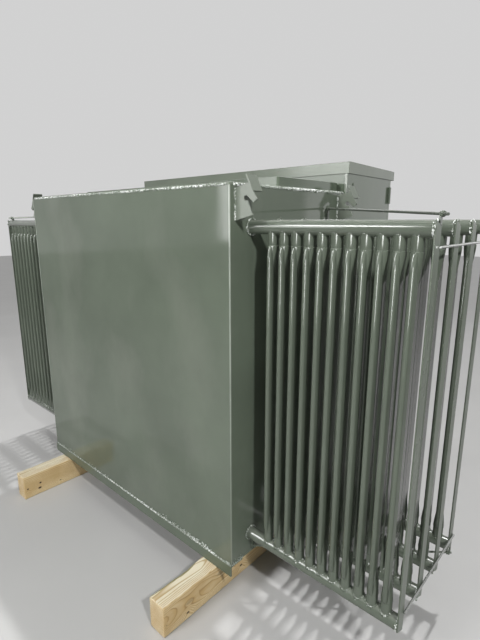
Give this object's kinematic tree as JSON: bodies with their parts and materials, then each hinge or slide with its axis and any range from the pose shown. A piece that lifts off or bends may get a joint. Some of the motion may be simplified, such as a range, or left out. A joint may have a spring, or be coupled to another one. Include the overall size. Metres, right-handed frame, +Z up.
{
  "type": "outdoor oil-filled power transformer",
  "caption": "Welded steel transformer tank with a raised cover pan, a closed terminal cabinet under a hood, tube radiators on both sides, lifting lugs and two timbers beneath.",
  "frame": {"origin": "on the ground under the middle of the bounding box", "axes": "+Z up, +X along the rear wall towards the right-hand radiators, +Y from the rear wall to the cabinet doors"},
  "size_m": [2.9384, 1.83, 1.8645],
  "materials": {
    "tank_paint": "glossy grey-green enamel on welded sheet, reflective, with small scuffs",
    "light_paint": "the same grey-green enamel on parts that face the sky, a little paler",
    "dark_paint": "grey-green enamel on small fittings",
    "radiator_paint": "glossy grey-green enamel on rounded tubes",
    "pine": "sawn pale pine with grain and knots"
  },
  "bodies": {
    "root": {"timber_left": "pine", "timber_right": "pine", "base_rail_rear": "tank_paint", "base_rail_front": "tank_paint", "tank_wrapper": "tank_paint", "tank_floor": "tank_paint", "tank_cover": "light_paint", "cover_pan": "light_paint", "cabinet_shell": "tank_paint", "cabinet_sill": "tank_paint", "cabinet_hood": "light_paint", "door_left": "tank_paint", "door_right": "tank_paint", "door_hinge_left_top": "dark_paint", "door_hinge_left_bottom": "dark_paint", "door_hinge_right_top": "dark_paint", "door_hinge_right_bottom": "dark_paint", "radiator_right_1": "radiator_paint", "radiator_right_2": "radiator_paint", "radiator_right_3": "radiator_paint", "radiator_right_4": "radiator_paint", "radiator_left_1": "radiator_paint", "radiator_left_2": "radiator_paint", "radiator_left_3": "radiator_paint", "radiator_left_4": "radiator_paint", "radiator_end_bar_right_1": "light_paint", "radiator_end_bar_right_2": "light_paint", "radiator_end_bar_right_3": "light_paint", "radiator_end_bar_right_4": "light_paint", "radiator_end_bar_left_1": "light_paint", "radiator_end_bar_left_2": "light_paint", "radiator_end_bar_left_3": "light_paint", "radiator_end_bar_left_4": "light_paint", "tie_rod_right_top": "radiator_paint", "tie_rod_right_bottom": "radiator_paint", "tie_rod_left_top": "radiator_paint", "tie_rod_left_bottom": "radiator_paint", "brace_rod_right_top": "light_paint", "brace_rod_right_bottom": "light_paint", "brace_rod_left_top": "light_paint", "brace_rod_left_bottom": "light_paint", "lifting_lug_right_rear": "light_paint", "lifting_lug_right_front": "light_paint", "lifting_lug_left_rear": "light_paint", "lifting_lug_left_front": "light_paint"}
  },
  "joints": []
}
